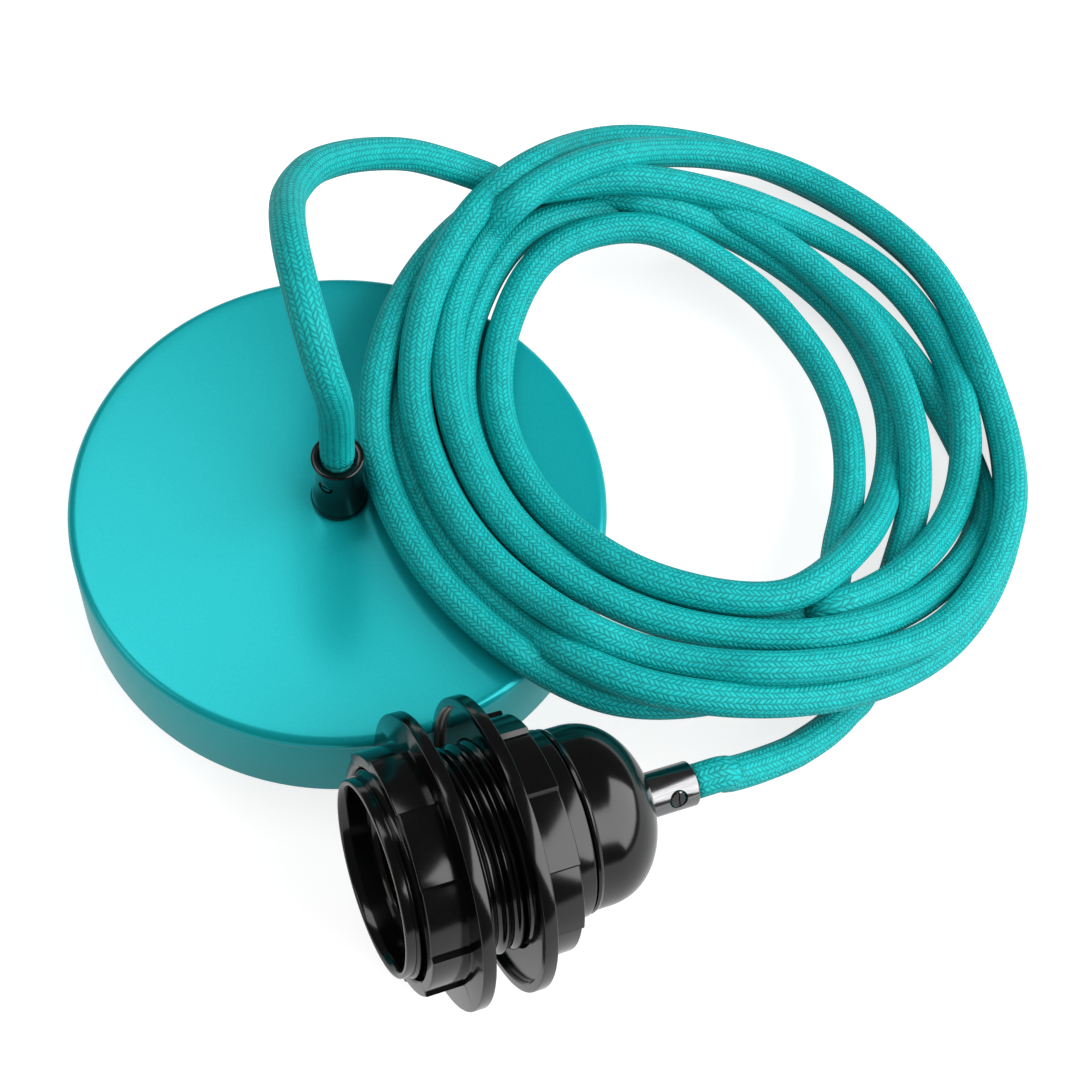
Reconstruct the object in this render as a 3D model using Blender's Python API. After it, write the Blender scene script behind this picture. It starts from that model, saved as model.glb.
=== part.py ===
"""A pendant lamp set laid out on a table: ceiling cup, coiled fabric cord, lamp holder with two rings.

The ceiling cup stands on its open side, with the origin at its centre on the ceiling side and +Z up.
The lamp holder lies on its rear shade ring with its mouth towards -X. Lengths are in metres.
"""

import math

import bmesh
import bpy
from mathutils import Matrix, Vector

for leftover in list(bpy.data.objects):
    bpy.data.objects.remove(leftover)

# Clearances
GAP = 0.0003

# Cord
CORD_DIAMETER = 0.0070
CORD_RADIUS = CORD_DIAMETER / 2
CORD_BORE = CORD_RADIUS + GAP
CORE_RADIUS = 0.0011
CORE_SPREAD = 0.0018
CORE_STEP = 0.0018
TUBE_STEP = 2.2 * CORD_DIAMETER
LOOP_STEP = 1.4 * CORD_DIAMETER

# Ceiling cup
CUP_RADIUS = 0.0575
CUP_HEIGHT = 0.0233
CUP_WALL = 0.0010
CUP_FILLET = 0.0020
CUP_INSIDE = CUP_RADIUS - CUP_WALL
CUP_CEILING = CUP_HEIGHT - CUP_WALL

# Cord grip of the cup
ROSE_STUB_RADIUS = 0.0049
ROSE_BASE_RADIUS = 0.00605
ROSE_NECK_RADIUS = 0.00515
ROSE_NECK_HEIGHT = 0.0072
ROSE_HEIGHT = 0.0170
ROSE_LIP_RADIUS = 0.0056
ROSE_STUB_LENGTH = 0.0060
ROSE_SCREW_RADIUS = 0.0014
ROSE_SCREW_HEIGHT = 0.0112
ROSE_SCREW_TURN = math.radians(-141)
NUT_THICKNESS = 0.0030
NUT_ACROSS = 0.0150
CUP_CORD_END = 0.0085

# Ceiling bracket and what it carries
BRACKET_TURN = math.radians(143)
BRACKET_WIDTH = 0.0160
BRACKET_SHEET = 0.0015
BRACKET_TAB = 0.0140
BRACKET_REACH = math.sqrt((CUP_INSIDE - GAP) ** 2 - (BRACKET_WIDTH / 2) ** 2)
SLOT_CENTRE = 0.0420
SLOT_LENGTH = 0.0120
SLOT_WIDTH = 0.0050
SIDE_SCREW_RADIUS = 0.0019
SIDE_SCREW_HEIGHT = 0.0085
SIDE_SCREW_HEAD = 0.0036
SIDE_SCREW_HEAD_HEIGHT = 0.0018
SIDE_SCREW_LENGTH = 0.0065
EARTH_SCREW_PLACE = -0.0260
EARTH_SCREW_RADIUS = 0.0018
EARTH_SCREW_HEAD = 0.0036
EARTH_SCREW_HEAD_HEIGHT = 0.0024
BLOCK_PLACE = 0.0200
BLOCK_DEPTH = 0.0160
BLOCK_HEIGHT = 0.0100
POLE_PITCH = 0.0086
POLE_COUNT = 3
POLE_RADIUS = 0.0026
POLE_BORE = 0.0015
POLE_SCREW_RADIUS = 0.0012
POLE_SCREW_SPREAD = 0.0042
POLE_HEIGHT = BRACKET_SHEET + GAP + 0.0045
BLOCK_SCREW_RADIUS = 0.0010
BLOCK_SCREW_OFFSET = POLE_PITCH / 2
BLOCK_SCREW_HEAD = 0.0022
BLOCK_SCREW_HEAD_HEIGHT = 0.0014

# Lamp holder, measured along its axis from the mouth towards the cord
HOLDER_TILT = math.radians(6.18)
HOLDER_MOUTH = -0.0229
HOLDER_CLEARANCE = 0.0007
MOUTH_RADIUS = 0.0197
THREAD_ROOT = 0.0200
THREAD_CREST = 0.0209
THREAD_PITCH = 0.0030
THREAD_START = 0.0029
THREAD_TURNS = 11
SHELL_LENGTH = 0.0391
SHELL_TAIL_RADIUS = 0.0191
SHELL_BORE = 0.0148
MOUTH_BORE = 0.0160
MOUTH_BORE_DEPTH = 0.0050
INSERT_SETBACK = 0.0119
INSERT_FRONT = SHELL_LENGTH - INSERT_SETBACK
INSERT_RADIUS = 0.0165
INSERT_LENGTH = 0.0074
SHELL_REAR_BORE = INSERT_RADIUS + GAP
CAP_RADIUS = 0.01845
CAP_SKIRT_WALL = 0.0016
CAP_WALL = 0.0024
CAP_STRAIGHT = 0.0048
DOME_LENGTH = 0.0137
DOME_POWER = 2.15
CAP_TOP_RADIUS = 0.0053
CAP_FRONT = SHELL_LENGTH + GAP
DOME_START = CAP_FRONT + CAP_STRAIGHT
CAP_SEAT_RADIUS = 0.0074
CAP_SKIRT_OUTSIDE = SHELL_REAR_BORE - GAP
CAP_SKIRT_INSIDE = CAP_SKIRT_OUTSIDE - CAP_SKIRT_WALL


def dome_height(radius, base, length):
    """How far a dome rises at a radius from its axis."""
    return length * (1 - (radius / base) ** DOME_POWER) ** (1 / DOME_POWER)


CAP_END = DOME_START + dome_height(CAP_TOP_RADIUS, CAP_RADIUS, DOME_LENGTH)
CAP_SEAT = DOME_START + dome_height(CAP_SEAT_RADIUS, CAP_SKIRT_INSIDE, DOME_LENGTH - CAP_WALL)

# Shade rings
RING_RADIUS = 0.0297
RING_FLANGE = 0.0027
RING_LENGTH = 0.0106
RING_COLLAR_LOW = 0.0235
RING_COLLAR_HIGH = 0.0244
RING_BORE = THREAD_CREST + GAP
RING_RECESS = 0.0013
RING_RIM = 0.0020
RING_PADS = 10
RING_EDGE = 0.0003
RING_END_EDGE = 0.0008
RING_TURN = math.radians(4)
FRONT_FLANGE = 0.0113
REAR_FLANGE = 0.0237

# Contacts
SCREW_SHELL_RADIUS = 0.0139
SCREW_SHELL_RIDGE = 0.0006
SCREW_SHELL_WALL = 0.0005
SCREW_SHELL_FRONT = 0.0060
SCREW_SHELL_PITCH = 0.0036
SCREW_SHELL_HOLE = 0.0062
STRIP = 0.0006
STRIP_WIDTH = 0.0050
STRIP_FACE = INSERT_FRONT - GAP - STRIP
SCREW_SHELL_REAR = STRIP_FACE - GAP
INSERT_REAR = INSERT_FRONT + INSERT_LENGTH
PAD_FACE = INSERT_REAR + GAP
CONTACT_SCREW_RADIUS = 0.0014
CONTACT_SCREW_HEAD = 0.0026
CONTACT_SCREW_HEAD_HEIGHT = 0.0016
CONTACT_SCREW_DEPTH = 0.0050
CENTRE_SLOT = 0.0045
CENTRE_PAD = 0.0085
SIDE_SLOT = -0.0110
SIDE_PAD = -0.0078

# Metal cord grip of the holder
GRIP_RADIUS = 0.00465
GRIP_LENGTH = 0.0104
GRIP_FRONT = CAP_END + GAP
GRIP_END = GRIP_FRONT + GRIP_LENGTH
GRIP_STUB_RADIUS = 0.00435
GRIP_STUB = 0.0078
GRIP_NUT_THICKNESS = 0.0028
GRIP_NUT_FLAT = 0.0062
GRIP_SCREW_RADIUS = 0.0017
GRIP_SCREW_PLACE = 0.0056
GRIP_SCREW_TURN = math.radians(-127)

# Coil of cord, leaning from the top of the cup down to the table
COIL_CENTRE = (0.0849, -0.0022)
COIL_OUTER = 0.0770
COIL_INNER = 0.0405
COIL_THICKNESS = 1.9 * CORD_DIAMETER
BED_START = CUP_RADIUS - 0.0025
BED_END = 0.1500

# Route of the free cord outside the coil
LOOP_ROUTE = (
    (0.0000, 0.0000, 0.0410),
    (0.0000, 0.0000, 0.0480),
    (-0.0005, -0.0020, 0.0600),
    (-0.0020, -0.0055, 0.0730),
    (-0.0037, -0.0060, 0.0835),
    (-0.0042, -0.0005, 0.0910),
    (-0.0036, 0.0085, 0.0935),
    (-0.0018, 0.0195, 0.0910),
    (0.0010, 0.0305, 0.0850),
    (0.0048, 0.0405, 0.0775),
    (0.0117, 0.0501, 0.0700),
    (0.0200, 0.0566, 0.0625),
    (0.0293, 0.0610, 0.0550),
    (0.0385, 0.0634, 0.0480),
    (0.0475, 0.0640, 0.0402),
)
TAIL_ROUTE = (
    (0.0736, -0.0827, 0.0112),
    (0.0700, -0.0836, 0.0131),
    (0.0661, -0.0845, 0.0151),
    (0.0592, -0.0858, 0.0187),
    (0.0532, -0.0865, 0.0219),
)


def finish(name, colour, roughness, metallic=0.0):
    """A plain surface in one colour."""
    surface = bpy.data.materials.new(name)
    surface.use_nodes = True
    shader = surface.node_tree.nodes["Principled BSDF"]
    shader.inputs["Base Color"].default_value = (*colour, 1.0)
    shader.inputs["Roughness"].default_value = roughness
    shader.inputs["Metallic"].default_value = metallic
    surface.diffuse_color = (*colour, 1.0)
    return surface


def outlined(name, mesh_builder, surface, parent=None, place=None):
    """Makes an object from a bmesh, with outward faces and smooth shading between its sharp edges."""
    bmesh.ops.recalc_face_normals(mesh_builder, faces=mesh_builder.faces)
    mesh = bpy.data.meshes.new(name)
    mesh_builder.to_mesh(mesh)
    mesh_builder.free()
    mesh.shade_smooth()
    mesh.set_sharp_from_angle(angle=math.radians(35))
    mesh.materials.append(surface)
    return placed(bpy.data.objects.new(name, mesh), parent, place)


def placed(piece, parent=None, place=None):
    bpy.context.scene.collection.objects.link(piece)
    piece.parent = parent
    piece.matrix_local = place or Matrix()
    return piece


def frame_at(name, place):
    """An empty that carries the pieces of one assembly."""
    return placed(bpy.data.objects.new(name, None), None, place)


def even_turn(sides):
    return [2 * math.pi * side / sides for side in range(sides)]


def turned(name, profile, surface, sides=48, parent=None, place=None, angles=None):
    """Turns a closed profile of (radius, height) points, or a function of the angle, round Z."""
    profile_at = profile if callable(profile) else lambda angle: profile
    builder = bmesh.new()
    rows = []
    for angle in angles or even_turn(sides):
        rows.append(
            [
                builder.verts.new((radius * math.cos(angle), radius * math.sin(angle), height))
                for radius, height in profile_at(angle)
            ]
        )
    on_axis = [point.co.xy.length < 1e-9 for point in rows[0]]
    for row, after in zip(rows, rows[1:] + rows[:1]):
        for low in range(len(row)):
            high = (low + 1) % len(row)
            if not (on_axis[low] and on_axis[high]):
                builder.faces.new((row[low], after[low], after[high], row[high]))
    bmesh.ops.remove_doubles(builder, verts=builder.verts, dist=1e-7)
    return outlined(name, builder, surface, parent, place)


def extruded(name, outline, depth, surface, parent=None, place=None):
    """Extrudes an outline of (x, z) points along Y, half to each side."""
    builder = bmesh.new()
    face = builder.faces.new([builder.verts.new((x, -depth / 2, z)) for x, z in outline])
    grown = bmesh.ops.extrude_face_region(builder, geom=[face])
    far = [item for item in grown["geom"] if isinstance(item, bmesh.types.BMVert)]
    bmesh.ops.translate(builder, verts=far, vec=(0, depth, 0))
    return outlined(name, builder, surface, parent, place)


def hidden(cutter):
    cutter.hide_render = True
    cutter.display_type = "WIRE"
    return cutter


def rods(name, pieces, parent=None, place=None, sides=12):
    """A cutter of separate rods, each given as its two ends and its radius."""
    builder = bmesh.new()
    for start, end, radius in pieces:
        start, end = Vector(start), Vector(end)
        along = end - start
        turn = along.to_track_quat("Z", "Y").to_matrix().to_4x4()
        bmesh.ops.create_cone(
            builder,
            cap_ends=True,
            segments=sides,
            radius1=radius,
            radius2=radius,
            depth=along.length,
            matrix=Matrix.Translation((start + end) / 2) @ turn,
        )
    return hidden(outlined(name, builder, steel, parent, place))


def bars(name, pieces, parent=None, place=None):
    """A cutter of separate boxes, each given as its centre and its size."""
    builder = bmesh.new()
    for centre, size in pieces:
        scale = Matrix.Diagonal((*size, 1.0))
        bmesh.ops.create_cube(builder, size=1.0, matrix=Matrix.Translation(centre) @ scale)
    return hidden(outlined(name, builder, steel, parent, place))


def cut(piece, cutter):
    boolean = piece.modifiers.new(cutter.name, "BOOLEAN")
    boolean.operation = "DIFFERENCE"
    boolean.object = cutter
    return piece


def screw(name, surface, place, parent, head, shank, sides=14):
    """A slotted screw with its head's seat at height 0: head and shank are (radius, length)."""
    edge = 0.0003
    profile = [
        (0, head[1]),
        (head[0] - edge, head[1]),
        (head[0], head[1] - edge),
        (head[0], 0),
        (shank[0], 0),
        (shank[0], edge - shank[1]),
        (shank[0] - edge, -shank[1]),
        (0, -shank[1]),
    ]
    piece = turned(name, profile, surface, sides, parent, place)
    depth = 0.45 * head[1]
    slot = bars(
        name + "_slot",
        [((0, 0, head[1]), (3 * head[0], 0.32 * head[0], 2 * depth))],
        parent,
        place,
    )
    return cut(piece, slot)


def stud(name, surface, place, parent, radius, length, sides=12):
    """A headless slotted screw with its outer end at height 0."""
    edge = 0.0002
    profile = [
        (0, 0),
        (radius - edge, 0),
        (radius, -edge),
        (radius, edge - length),
        (radius - edge, -length),
        (0, -length),
    ]
    piece = turned(name, profile, surface, sides, parent, place)
    depth = min(0.0006, 0.45 * length)
    slot = bars(name + "_slot", [((0, 0, 0), (3 * radius, 0.35 * radius, 2 * depth))], parent, place)
    return cut(piece, slot)


def hexagon_nut(name, surface, across, bore, thickness, parent, place):
    """A nut whose lower face is at height 0."""

    def profile_at(angle):
        flat = (angle + math.pi / 6) % (math.pi / 3) - math.pi / 6
        outer = across / 2 / math.cos(flat)
        return [(bore, 0), (outer, 0), (outer, thickness), (bore, thickness)]

    return turned(name, profile_at, surface, 12, parent, place)


def curve_through(route, step):
    """Points a step apart on a smooth curve through the route's points."""
    knots = [Vector(point) for point in route]
    knots = [2 * knots[0] - knots[1], *knots, 2 * knots[-1] - knots[-2]]
    fine = []
    for before, start, end, after in zip(knots, knots[1:], knots[2:], knots[3:]):
        for part in range(20):
            t = part / 20
            fine.append(
                0.5
                * (
                    2 * start
                    + (end - before) * t
                    + (2 * before - 5 * start + 4 * end - after) * t * t
                    + (3 * start - before - 3 * end + after) * t**3
                )
            )
    fine.append(knots[-2])
    travelled = [0.0]
    for start, end in zip(fine, fine[1:]):
        travelled.append(travelled[-1] + (end - start).length)
    count = max(2, round(travelled[-1] / step))
    points = []
    reached = 0
    for number in range(count + 1):
        wanted = travelled[-1] * number / count
        while reached < len(fine) - 2 and travelled[reached + 1] < wanted:
            reached += 1
        span = travelled[reached + 1] - travelled[reached]
        points.append(fine[reached].lerp(fine[reached + 1], (wanted - travelled[reached]) / span))
    return points


def tube(name, route, radius, surface, step, parent=None, resolution=2):
    curve = bpy.data.curves.new(name, "CURVE")
    curve.dimensions = "3D"
    curve.bevel_depth = radius
    curve.bevel_resolution = resolution
    curve.use_fill_caps = True
    curve.materials.append(surface)
    spline = curve.splines.new("POLY")
    points = curve_through(route, step)
    spline.points.add(len(points) - 1)
    for point, place in zip(spline.points, points):
        point.co = (*place, 1.0)
    return placed(bpy.data.objects.new(name, curve), parent)


def arc(centre, radius, start, end, steps):
    """Points on an arc, in degrees from the first axis."""
    turns = [math.radians(start + (end - start) * step / steps) for step in range(steps + 1)]
    return [(centre[0] + radius * math.cos(turn), centre[1] + radius * math.sin(turn)) for turn in turns]


cup_paint = finish("teal_paint", (0.05, 0.42, 0.42), 0.35)
black_plastic = finish("black_plastic", (0.012, 0.012, 0.014), 0.18)
cord_cloth = finish("teal_cloth", (0.05, 0.56, 0.55), 0.75)
steel = finish("zinc_steel", (0.62, 0.62, 0.64), 0.35, 1.0)
brass = finish("brass", (0.75, 0.58, 0.28), 0.3, 1.0)
ceramic = finish("ceramic", (0.82, 0.80, 0.76), 0.5)
terminal_plastic = finish("terminal_plastic", (0.86, 0.86, 0.84), 0.45)
core_colours = {
    "live": finish("brown_core", (0.17, 0.07, 0.03), 0.5),
    "neutral": finish("blue_core", (0.03, 0.16, 0.55), 0.5),
    "earth": finish("green_core", (0.10, 0.40, 0.08), 0.5),
}


def ceiling_cup():
    """A pressed steel cup, open towards the ceiling, with a hole for the grip's stub."""
    hole = ROSE_STUB_RADIUS + GAP
    outer = arc((CUP_RADIUS - CUP_FILLET, CUP_HEIGHT - CUP_FILLET), CUP_FILLET, 0, 90, 3)
    inner_fillet = CUP_FILLET - CUP_WALL
    inner = arc((CUP_INSIDE - inner_fillet, CUP_CEILING - inner_fillet), inner_fillet, 90, 0, 2)
    profile = [(CUP_RADIUS, 0), *outer, (hole, CUP_HEIGHT), (hole, CUP_CEILING), *inner, (CUP_INSIDE, 0)]
    cup = turned("ceiling_cup", profile, cup_paint, 64)
    reach = CUP_RADIUS + CUP_WALL
    height, radius = SIDE_SCREW_HEIGHT, SIDE_SCREW_RADIUS + GAP
    holes = [
        ((side * (CUP_INSIDE - 2 * CUP_WALL), 0, height), (side * reach, 0, height), radius)
        for side in (-1, 1)
    ]
    return cut(cup, rods("cup_side_holes", holes, bracket_frame))


def ceiling_bracket():
    """A steel strap flush with the cup's rim, with a bent tab at each end for the cup's side screws."""
    reach, sheet, tab = BRACKET_REACH, BRACKET_SHEET, BRACKET_TAB
    outline = [
        (-reach, 0),
        (reach, 0),
        (reach, tab),
        (reach - sheet, tab),
        (reach - sheet, sheet),
        (sheet - reach, sheet),
        (sheet - reach, tab),
        (-reach, tab),
    ]
    bracket = extruded("ceiling_bracket", outline, BRACKET_WIDTH, steel, bracket_frame)
    through = 2 * BRACKET_SHEET
    height = SIDE_SCREW_HEIGHT
    holes = [
        (
            (side * (reach - through), 0, height),
            (side * (reach + through), 0, height),
            SIDE_SCREW_RADIUS + GAP,
        )
        for side in (-1, 1)
    ]
    for x, y, radius in (
        (EARTH_SCREW_PLACE, 0, EARTH_SCREW_RADIUS),
        (BLOCK_PLACE, BLOCK_SCREW_OFFSET, BLOCK_SCREW_RADIUS),
    ):
        holes.append(((x, y, -through), (x, y, 2 * through), radius + GAP))
    cut(bracket, rods("bracket_holes", holes, bracket_frame))
    slots = [
        ((side * SLOT_CENTRE, 0, 0), (SLOT_LENGTH, SLOT_WIDTH, 2 * through))
        for side in (-1, 1)
    ]
    return cut(bracket, bars("bracket_slots", slots, bracket_frame))


def bracket_screws():
    for side, name in ((-1, "left"), (1, "right")):
        seat = Vector((side * (CUP_RADIUS + GAP), 0, SIDE_SCREW_HEIGHT))
        turn = Matrix.Rotation(side * math.pi / 2, 4, "Y")
        screw(
            f"cup_side_screw_{name}",
            steel,
            Matrix.Translation(seat) @ turn,
            bracket_frame,
            (SIDE_SCREW_HEAD, SIDE_SCREW_HEAD_HEIGHT),
            (SIDE_SCREW_RADIUS, SIDE_SCREW_LENGTH),
        )
    earth_seat = Matrix.Translation((EARTH_SCREW_PLACE, 0, BRACKET_SHEET + GAP))
    screw(
        "earth_screw",
        brass,
        earth_seat,
        bracket_frame,
        (EARTH_SCREW_HEAD, EARTH_SCREW_HEAD_HEIGHT),
        (EARTH_SCREW_RADIUS, BRACKET_SHEET),
    )


def pole_offsets():
    return [(pole - (POLE_COUNT - 1) / 2) * POLE_PITCH for pole in range(POLE_COUNT)]


def terminal_block():
    """A three-pole block with a brass tube and two screws in each pole, screwed to the bracket."""
    low = BRACKET_SHEET + GAP
    high = low + BLOCK_HEIGHT
    depth = BLOCK_DEPTH / 2
    edge = 0.0008
    outline = [
        (BLOCK_PLACE - depth, low),
        (BLOCK_PLACE + depth, low),
        (BLOCK_PLACE + depth, high - edge),
        (BLOCK_PLACE + depth - edge, high),
        (BLOCK_PLACE - depth + edge, high),
        (BLOCK_PLACE - depth, high - edge),
    ]
    width = POLE_COUNT * POLE_PITCH + 0.002
    block = extruded("terminal_block", outline, width, terminal_plastic, bracket_frame)
    past = 0.001
    near, far = BLOCK_PLACE - depth - past, BLOCK_PLACE + depth + past
    bores = [
        ((near, y, POLE_HEIGHT), (far, y, POLE_HEIGHT), POLE_RADIUS + GAP) for y in pole_offsets()
    ]
    cut(block, rods("block_bores", bores, bracket_frame))
    screw_places = [
        (BLOCK_PLACE + side * POLE_SCREW_SPREAD, y) for y in pole_offsets() for side in (-1, 1)
    ]
    wells = [((x, y, POLE_HEIGHT), (x, y, high + past), POLE_SCREW_RADIUS + GAP) for x, y in screw_places]
    cut(block, rods("block_wells", wells, bracket_frame))
    x, y = BLOCK_PLACE, BLOCK_SCREW_OFFSET
    fixing = [((x, y, low - past), (x, y, high + past), BLOCK_SCREW_RADIUS + GAP)]
    cut(block, rods("block_fixing_hole", fixing, bracket_frame))
    screw(
        "block_fixing_screw",
        steel,
        Matrix.Translation((x, y, high + GAP)),
        bracket_frame,
        (BLOCK_SCREW_HEAD, BLOCK_SCREW_HEAD_HEIGHT),
        (BLOCK_SCREW_RADIUS, BLOCK_HEIGHT + GAP + 0.6 * BRACKET_SHEET),
    )
    lying = Matrix.Rotation(math.pi / 2, 4, "Y")
    length = BLOCK_DEPTH - 0.002
    for pole, y in enumerate(pole_offsets(), 1):
        profile = [(POLE_BORE, 0), (POLE_RADIUS, 0), (POLE_RADIUS, length), (POLE_BORE, length)]
        place = Matrix.Translation((BLOCK_PLACE - length / 2, y, POLE_HEIGHT)) @ lying
        insert = turned(f"pole_tube_{pole}", profile, brass, 12, bracket_frame, place)
        holes = []
        above = POLE_HEIGHT + 2 * POLE_RADIUS
        for side in (-1, 1):
            x = BLOCK_PLACE + side * POLE_SCREW_SPREAD
            holes.append(((x, y, POLE_HEIGHT), (x, y, above), POLE_SCREW_RADIUS + GAP))
        cut(insert, rods(f"pole_tube_{pole}_holes", holes, bracket_frame))
        for side, end in ((-1, "in"), (1, "out")):
            top = high - 0.0006
            foot = POLE_HEIGHT + CORE_RADIUS + GAP
            x = BLOCK_PLACE + side * POLE_SCREW_SPREAD
            place = Matrix.Translation((x, y, top))
            stud(f"pole_screw_{pole}_{end}", brass, place, bracket_frame, POLE_SCREW_RADIUS, top - foot, 12)


def rose_grip():
    """The black grip on the cup: a waisted collar with a threaded stub, its nut and its side screw."""
    seat = CUP_HEIGHT + GAP
    edge = 0.0005
    profile = [
        (ROSE_BASE_RADIUS, 0),
        (ROSE_BASE_RADIUS, 0.0010),
        (0.35 * ROSE_BASE_RADIUS + 0.65 * ROSE_NECK_RADIUS, 0.40 * ROSE_NECK_HEIGHT),
        (ROSE_NECK_RADIUS, ROSE_NECK_HEIGHT),
        (ROSE_NECK_RADIUS, 0.72 * ROSE_HEIGHT),
        (ROSE_LIP_RADIUS, ROSE_HEIGHT - edge),
        (ROSE_LIP_RADIUS - edge, ROSE_HEIGHT),
        (CORD_BORE + edge, ROSE_HEIGHT),
        (CORD_BORE, ROSE_HEIGHT - edge),
        (CORD_BORE, -ROSE_STUB_LENGTH),
        (ROSE_STUB_RADIUS, -ROSE_STUB_LENGTH),
        (ROSE_STUB_RADIUS, 0),
    ]
    body = turned("rose_grip_body", profile, black_plastic, 28, None, Matrix.Translation((0, 0, seat)))
    height = seat + ROSE_SCREW_HEIGHT
    toward = Vector((math.cos(ROSE_SCREW_TURN), math.sin(ROSE_SCREW_TURN), 0))
    up = Vector((0, 0, height))
    inner_end, outer_end = up + 0.5 * CORD_RADIUS * toward, up + 2 * ROSE_NECK_RADIUS * toward
    hole = [(inner_end, outer_end, ROSE_SCREW_RADIUS + GAP)]
    cut(body, rods("rose_grip_hole", hole))
    turn = toward.to_track_quat("Z", "Y").to_matrix().to_4x4()
    outer = ROSE_NECK_RADIUS - 0.0002
    place = Matrix.Translation(up + outer * toward) @ turn
    stud("rose_grip_screw", steel, place, None, ROSE_SCREW_RADIUS, outer - CORD_BORE)
    nut_place = Matrix.Translation((0, 0, CUP_CEILING - GAP - NUT_THICKNESS))
    hexagon_nut("rose_grip_nut", steel, NUT_ACROSS, ROSE_STUB_RADIUS + GAP, NUT_THICKNESS, None, nut_place)


def cup_wiring():
    """The cord's end inside the cup, and its three cores, each led into its pole."""
    top = CUP_HEIGHT + GAP + ROSE_HEIGHT
    bottom = CUP_CEILING - CUP_CORD_END
    ends = [(0, 0, bottom), (0, 0, top)]
    tube("cup_cord_tail", ends, CORD_RADIUS, cord_cloth, TUBE_STEP, bracket_frame, 4)
    face = BLOCK_PLACE - BLOCK_DEPTH / 2
    starts = {"live": 120, "earth": 0, "neutral": 240}
    for (core, bearing), y in zip(starts.items(), reversed(pole_offsets())):
        bearing = math.radians(bearing)
        x = CORE_SPREAD * math.cos(bearing)
        side = CORE_SPREAD * math.sin(bearing)
        level = bottom - GAP
        route = [
            (x, side, level),
            (x + 0.0006, side + 0.05 * y, level - 0.0022),
            (x + 0.0030, side + 0.35 * (y - side), 0.35 * level + 0.65 * POLE_HEIGHT),
            (0.72 * face, side + 0.85 * (y - side), POLE_HEIGHT + 0.0003),
            (face - 0.0008, y, POLE_HEIGHT),
            (face + 0.0040, y, POLE_HEIGHT),
        ]
        tube(f"cup_core_{core}", route, CORE_RADIUS, core_colours[core], CORE_STEP, bracket_frame)


def holder_shell():
    """The front half of the holder: a mouth, a screw thread for the rings and a stepped tail."""
    edge = 0.0010
    outer = [(MOUTH_RADIUS - edge, 0), (MOUTH_RADIUS - 0.3 * edge, 0.3 * edge), (MOUTH_RADIUS, edge)]
    for turn in range(THREAD_TURNS):
        middle = THREAD_START + turn * THREAD_PITCH
        outer += [(THREAD_ROOT, middle - THREAD_PITCH / 2), (THREAD_CREST, middle)]
    step = THREAD_START + (THREAD_TURNS - 0.5) * THREAD_PITCH
    inner = [
        (THREAD_ROOT, step - GAP),
        (SHELL_TAIL_RADIUS, step),
        (SHELL_TAIL_RADIUS, SHELL_LENGTH),
        (SHELL_REAR_BORE, SHELL_LENGTH),
        (SHELL_REAR_BORE, INSERT_FRONT - GAP),
        (SHELL_BORE, INSERT_FRONT - GAP),
        (SHELL_BORE, MOUTH_BORE_DEPTH),
        (MOUTH_BORE, MOUTH_BORE_DEPTH - 0.0010),
        (MOUTH_BORE, 0.4 * edge),
        (MOUTH_BORE + 0.4 * edge, 0),
    ]
    return turned("holder_shell", outer + inner, black_plastic, 40, holder_frame)


def dome_profile(base, length, end_radius, steps):
    """Points on a dome from its base to its end radius, evenly turned."""
    points = []
    last = math.acos((end_radius / base) ** (DOME_POWER / 2))
    for step in range(steps + 1):
        turn = last * step / steps
        radius = base * math.cos(turn) ** (2 / DOME_POWER)
        points.append((radius, DOME_START + dome_height(min(radius, base), base, length)))
    return points


def holder_cap():
    """The rear half of the holder: a skirt inside the shell's tail and a domed end with the grip's hole."""
    skirt_outer, skirt_inner = CAP_SKIRT_OUTSIDE, CAP_SKIRT_INSIDE
    skirt_front = INSERT_REAR + GAP
    outer = dome_profile(CAP_RADIUS, DOME_LENGTH, CAP_TOP_RADIUS, 7)
    inner = dome_profile(skirt_inner, DOME_LENGTH - CAP_WALL, CAP_SEAT_RADIUS, 3)
    hole = GRIP_STUB_RADIUS + GAP
    profile = [
        (skirt_outer, skirt_front),
        (skirt_outer, CAP_FRONT),
        (CAP_RADIUS - GAP, CAP_FRONT),
        (CAP_RADIUS, CAP_FRONT + GAP),
        *outer,
        (hole, outer[-1][1]),
        (hole, inner[-1][1]),
        *reversed(inner),
        (skirt_inner, skirt_front),
    ]
    return turned("holder_cap", profile, black_plastic, 40, holder_frame)


def ring_profile(collar):
    """A shade ring's section: flange with a rim round a recess, then the collar."""
    edge, end_edge = RING_EDGE, RING_END_EDGE
    return [
        (RING_BORE, RING_RECESS),
        (RING_RADIUS - RING_RIM, RING_RECESS),
        (RING_RADIUS - RING_RIM, 0),
        (RING_RADIUS - edge, 0),
        (RING_RADIUS, edge),
        (RING_RADIUS, RING_FLANGE - edge),
        (RING_RADIUS - edge, RING_FLANGE),
        (collar, RING_FLANGE),
        (collar, RING_LENGTH - end_edge),
        (collar - 0.3 * end_edge, RING_LENGTH - 0.3 * end_edge),
        (collar - end_edge, RING_LENGTH),
        (RING_BORE, RING_LENGTH),
    ]


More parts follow.
